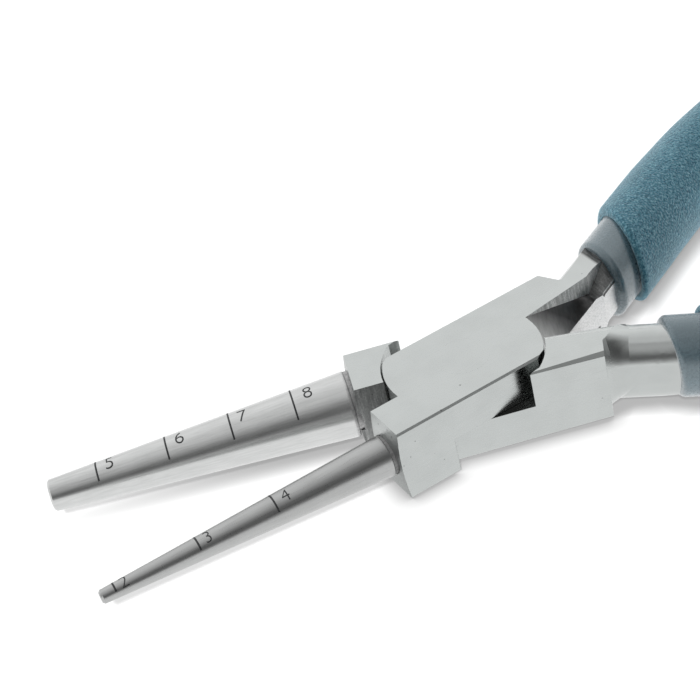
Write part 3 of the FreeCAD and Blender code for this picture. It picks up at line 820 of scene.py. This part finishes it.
# The tent's brightness from the horizon to straight above, on its near and far sides
TENT = {
    "near": [(0.0, 0.78), (0.13, 0.42), (0.26, 0.20), (0.40, 0.14), (0.60, 0.19), (0.72, 0.27),
             (0.83, 0.42), (0.92, 0.62), (1.0, 0.74)],
    "near_left": [(0.0, 0.80), (0.09, 0.58), (0.165, 0.36), (0.24, 0.20), (0.32, 0.14),
                  (0.40, 0.17), (0.47, 0.23), (0.61, 0.43), (0.74, 0.54), (0.85, 0.52),
                  (0.93, 0.47), (0.966, 0.69), (1.0, 0.71)],
    "near_right": [(0.0, 0.52), (0.13, 0.25), (0.30, 0.13), (0.46, 0.10), (0.60, 0.10),
                   (0.72, 0.14), (0.83, 0.22), (0.92, 0.33), (1.0, 0.55)],
    "far": [(0.0, 0.84), (0.18, 0.86), (0.50, 0.94), (0.60, 0.97), (0.80, 0.89), (0.93, 0.80),
            (1.0, 0.75)],
    "far_left": [(0.0, 0.90), (0.60, 0.91), (0.86, 0.88), (0.95, 0.79), (0.966, 0.70),
                 (1.0, 0.70)],
}
TENT_STRENGTH = 2.1


def make_camera():
    """The photograph's camera."""
    azimuth, elevation, roll = [math.radians(CAMERA[key])
                                for key in ("azimuth", "elevation", "roll")]
    back = direction(azimuth, elevation)
    right = Vector((math.cos(azimuth), math.sin(azimuth), 0))
    up = back.cross(right)
    right_rolled = right * math.cos(roll) + up * math.sin(roll)
    up_rolled = up * math.cos(roll) - right * math.sin(roll)
    spot = (Vector(CAMERA["target"]) + back * CAMERA["distance"]) * MM
    data = bpy.data.cameras.new("camera")
    data.sensor_width = 36.0
    data.lens = CAMERA["focal_px"] / CAMERA["frame_px"] * data.sensor_width
    data.clip_start = 0.01
    data.clip_end = 20.0
    camera = bpy.data.objects.new("camera", data)
    bpy.context.scene.collection.objects.link(camera)
    turn = Matrix((right_rolled, up_rolled, back)).transposed().to_4x4()
    camera.matrix_world = Matrix.Translation(spot) @ turn
    bpy.context.scene.camera = camera


def mixed(make, factor, first, second):
    """One shader where the factor is 0 and another where it is 1."""
    node = make.node("ShaderNodeMixShader")
    for socket, target in zip((factor, first, second), node.inputs):
        make.link(socket, target)
    return node.outputs[0]


def floor_finish():
    """White to the camera and to reflections, with the tool's shadow, and pale to the rest."""
    make = new_material("white_floor")
    make.tree.nodes.remove(make.tree.nodes["Principled BSDF"])
    plain = make.node("ShaderNodeBsdfDiffuse")
    plain.inputs["Color"].default_value = (FLOOR["grey"], FLOOR["grey"], FLOOR["grey"], 1)
    mirrored = make.node("ShaderNodeEmission")
    mirrored.inputs["Strength"].default_value = 1.0
    # The shadow is deepest close under the tool
    close = make.node("ShaderNodeAmbientOcclusion", samples=24)
    close.inputs["Distance"].default_value = FLOOR["shade_mm"] * MM
    openness = close.outputs["AO"]
    soft = make.node("ShaderNodeBsdfDiffuse")
    make.link(make.ramp(openness, FLOOR["tones"]), soft.inputs["Color"])
    glow = make.node("ShaderNodeEmission")
    make.link(make.range(openness, *FLOOR["glow"]), glow.inputs["Strength"])
    seen = make.node("ShaderNodeAddShader")
    make.link(soft.outputs[0], seen.inputs[0])
    make.link(glow.outputs[0], seen.inputs[1])

    path = make.light_path()
    shown = make.either(make.either(path["Is Camera Ray"], path["Is Glossy Ray"]),
                        path["Is Transmission Ray"])
    surface = mixed(make, shown, plain.outputs[0], mirrored.outputs[0])
    surface = mixed(make, path["Is Camera Ray"], surface, seen.outputs[0])
    make.link(surface, make.tree.nodes["Material Output"].inputs["Surface"])
    return make.owner


def make_floor():
    """The floor that the joint's front and the lower grip rest on."""
    front = -FRONT_LENGTH * MM
    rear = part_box("lower_foam_grip")[0].x + FLOOR["grip_rest"]
    slope = cad_box[0].z / (rear - front)
    size = FLOOR["half_size"]

    def fill(bm):
        corners = [(-size, -size), (size, -size), (size, size), (-size, size)]
        bm.faces.new([bm.verts.new((x, y, (x - front) * slope - FLOOR["gap"]))
                      for x, y in corners])

    floor = new_object("floor", fill)
    dress(floor, floor_finish())
    return floor


def make_world():
    """A light tent: bright all round, with a darker opening on the near side."""
    world = bpy.data.worlds.new("tent")
    bpy.context.scene.world = world
    make = Nodes(world)
    x, y, z = make.parts(make.node("ShaderNodeTexCoord").outputs["Generated"])
    level = make.math("SQRT", make.math("ADD", make.math("MULTIPLY", x, x),
                                        make.math("MULTIPLY", y, y)))
    sideways = make.math("DIVIDE", x, make.math("MAXIMUM", level, 0.02))
    to_left = make.fade(sideways, -0.15, -0.50)
    to_right = make.fade(sideways, 0.18, 0.50)
    side = {name: make.ramp(z, stops) for name, stops in TENT.items()}
    near = make.mix(to_right, make.mix(to_left, side["near"], side["near_left"]),
                    side["near_right"])
    far = make.mix(to_left, side["far"], side["far_left"])
    tent = make.mix(make.fade(y, 0.30, -0.20), far, near)

    # Diffuse surfaces get the tent with more contrast, and the camera sees white
    path = make.light_path()
    tent = make.mix(path["Is Diffuse Ray"], tent, make.times(tent, tent))
    seen = make.mix(path["Is Camera Ray"], tent, (1, 1, 1, 1))
    back = make.tree.nodes["Background"]
    make.link(seen, back.inputs["Color"])
    make.link(make.range(path["Is Diffuse Ray"], 0.0, 1.0, 1.0, TENT_STRENGTH),
              back.inputs["Strength"])
    world.cycles.sampling_method = "NONE"


def make_floor_lamp(floor):
    """A distant soft lamp for the floor alone, so the tool's own tones stay as they are."""
    data = bpy.data.lights.new("floor_lamp", "SUN")
    data.angle = math.radians(FLOOR_LAMP["softness"])
    data.energy = FLOOR_LAMP["strength"]
    lamp = bpy.data.objects.new("floor_lamp", data)
    bpy.context.scene.collection.objects.link(lamp)
    away = direction(math.radians(FLOOR_LAMP["azimuth"]), math.radians(FLOOR_LAMP["elevation"]))
    lamp.location = away
    lamp.rotation_mode = "QUATERNION"
    lamp.rotation_quaternion = away.to_track_quat("Z", "Y")
    lit = bpy.data.collections.new("lit_floor")
    lit.objects.link(floor)
    lamp.light_linking.receiver_collection = lit


make_camera()
make_floor_lamp(make_floor())
make_world()
bpy.context.scene.view_settings.view_transform = "Standard"
